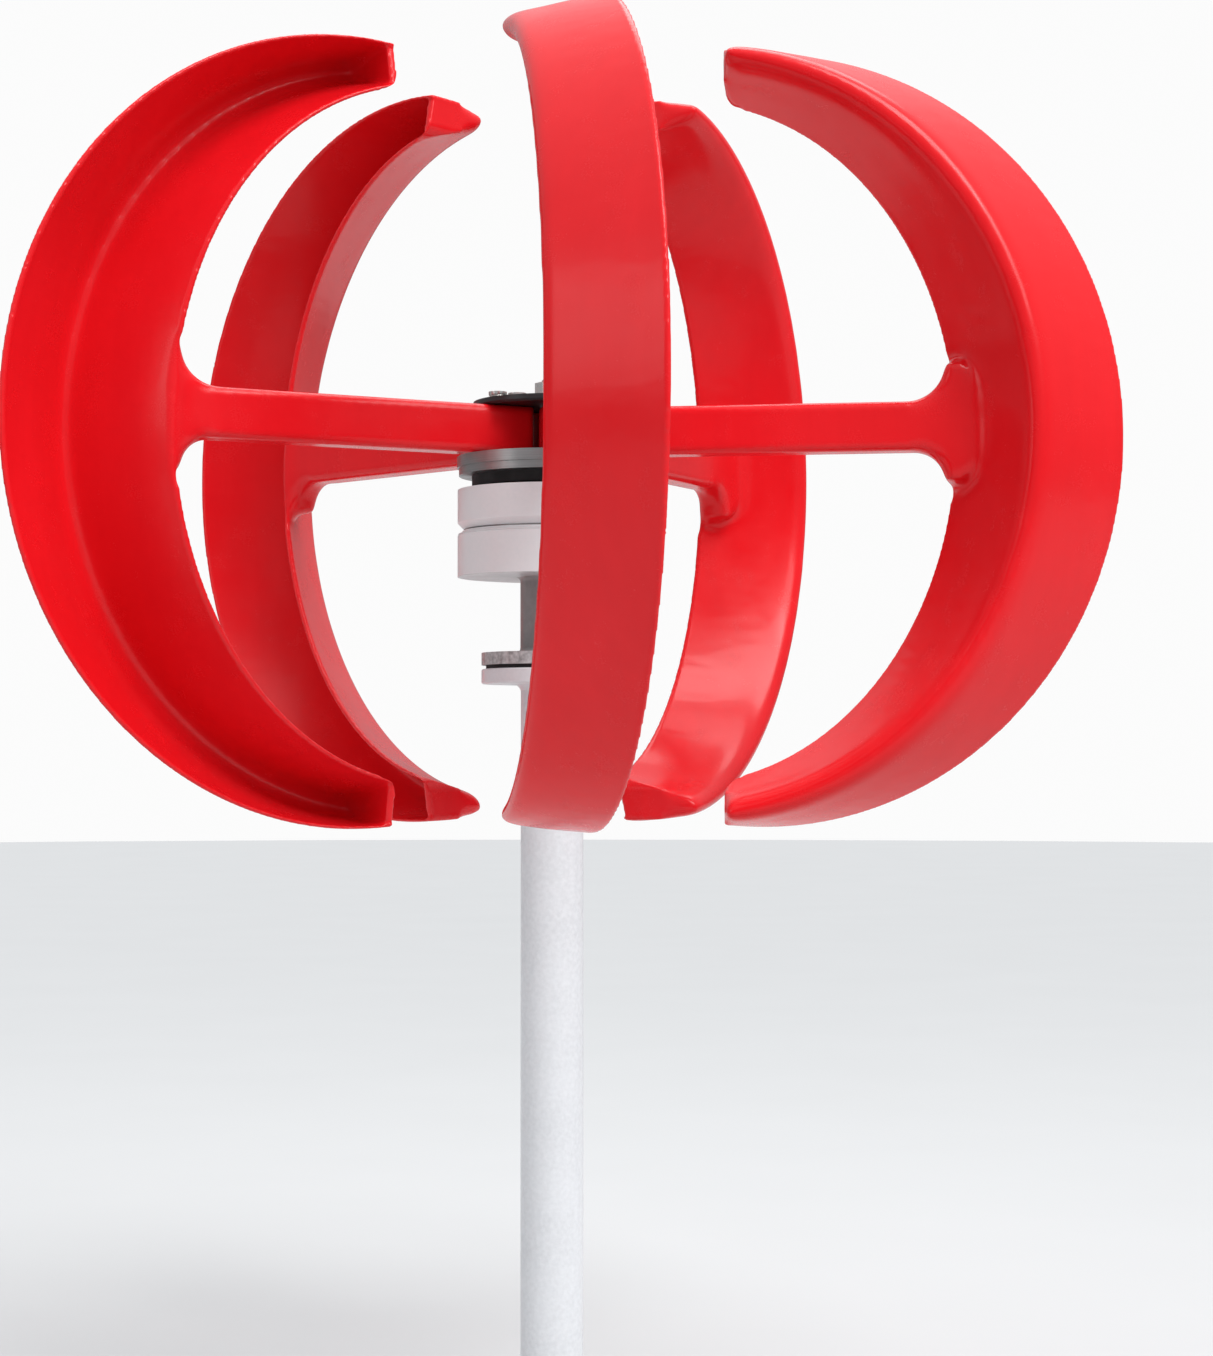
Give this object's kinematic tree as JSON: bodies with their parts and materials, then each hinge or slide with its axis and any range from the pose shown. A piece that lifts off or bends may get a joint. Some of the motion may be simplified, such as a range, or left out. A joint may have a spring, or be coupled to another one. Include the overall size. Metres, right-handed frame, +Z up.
{
  "type": "vertical axis wind turbine",
  "caption": "Vertical axis wind turbine: curved trough-shaped blades round a hub on a compact alternator, flanged to a round tube mast.",
  "frame": {"origin": "centre of the mast's open lower end", "axes": "+Z up along the mast and the rotor's axis; -Y is the front, where the first blade stands"},
  "size_m": [0.8157, 0.8177, 1.0825],
  "materials": {
    "bearing_steel": "ground",
    "black_plate": "satin black",
    "black_rubber": "matt",
    "blade_red": "glossy moulded",
    "cage_nylon": "natural nylon",
    "copper_wire": "enamelled copper",
    "housing_paint": "satin light grey",
    "hub_aluminium": "cast and turned",
    "lamination_steel": "stacked sheets",
    "machined_steel": "turned",
    "magnet_nickel": "nickel plated",
    "mast_paint": "smooth light grey",
    "zinc_steel": "zinc plated"
  },
  "bodies": {
    "mast": {"flange_gasket": "black_rubber", "flange_screws": "zinc_steel", "generator_lower_housing": "housing_paint", "generator_upper_housing": "housing_paint", "housing_seam_seal": "black_rubber", "housing_through_bolts": "zinc_steel", "lower_bearing_outer_race": "bearing_steel", "mast_flange": "mast_paint", "mast_tube": "mast_paint", "mast_weld": "mast_paint", "preload_washer": "zinc_steel", "shaft_seal": "black_rubber", "stator_core": "lamination_steel", "stator_windings": "copper_wire", "upper_bearing_outer_race": "bearing_steel", "wire_bush": "black_rubber"},
    "rotor": {"arm_bolts": "zinc_steel", "arm_nuts": "zinc_steel", "arm_washers": "zinc_steel", "blade_1": "blade_red", "blade_2": "blade_red", "blade_3": "blade_red", "blade_4": "blade_red", "blade_5": "blade_red", "carrier_key": "zinc_steel", "hub_key": "zinc_steel", "hub_lower_plate": "hub_aluminium", "hub_spacer": "hub_aluminium", "hub_top_plate": "black_plate", "lower_bearing_inner_race": "bearing_steel", "magnet_carrier": "machined_steel", "rain_slinger": "black_rubber", "rotor_magnets": "magnet_nickel", "rotor_shaft": "machined_steel", "shaft_circlip": "zinc_steel", "shaft_nut": "zinc_steel", "shaft_washer": "zinc_steel", "upper_bearing_inner_race": "bearing_steel"},
    "lower_ball_set": {"lower_bearing_balls": "bearing_steel", "lower_bearing_cage": "cage_nylon"},
    "upper_ball_set": {"upper_bearing_balls": "bearing_steel", "upper_bearing_cage": "cage_nylon"}
  },
  "joints": [
    {"name": "rotor_spin", "type": "hinge", "parent": "mast", "child": "rotor", "pos_m": [0, 0, 0.7865], "axis": [0, 0, 1], "continuous": true},
    {"name": "lower_balls_roll", "type": "hinge", "parent": "mast", "child": "lower_ball_set", "pos_m": [0, 0, 0.704], "axis": [0, 0, 1], "continuous": true},
    {"name": "upper_balls_roll", "type": "hinge", "parent": "mast", "child": "upper_ball_set", "pos_m": [0, 0, 0.7365], "axis": [0, 0, 1], "continuous": true}
  ],
  "couplings": [
    {"joint": "lower_balls_roll", "follows": "rotor_spin", "ratio": 0.38149},
    {"joint": "upper_balls_roll", "follows": "rotor_spin", "ratio": 0.38149}
  ]
}
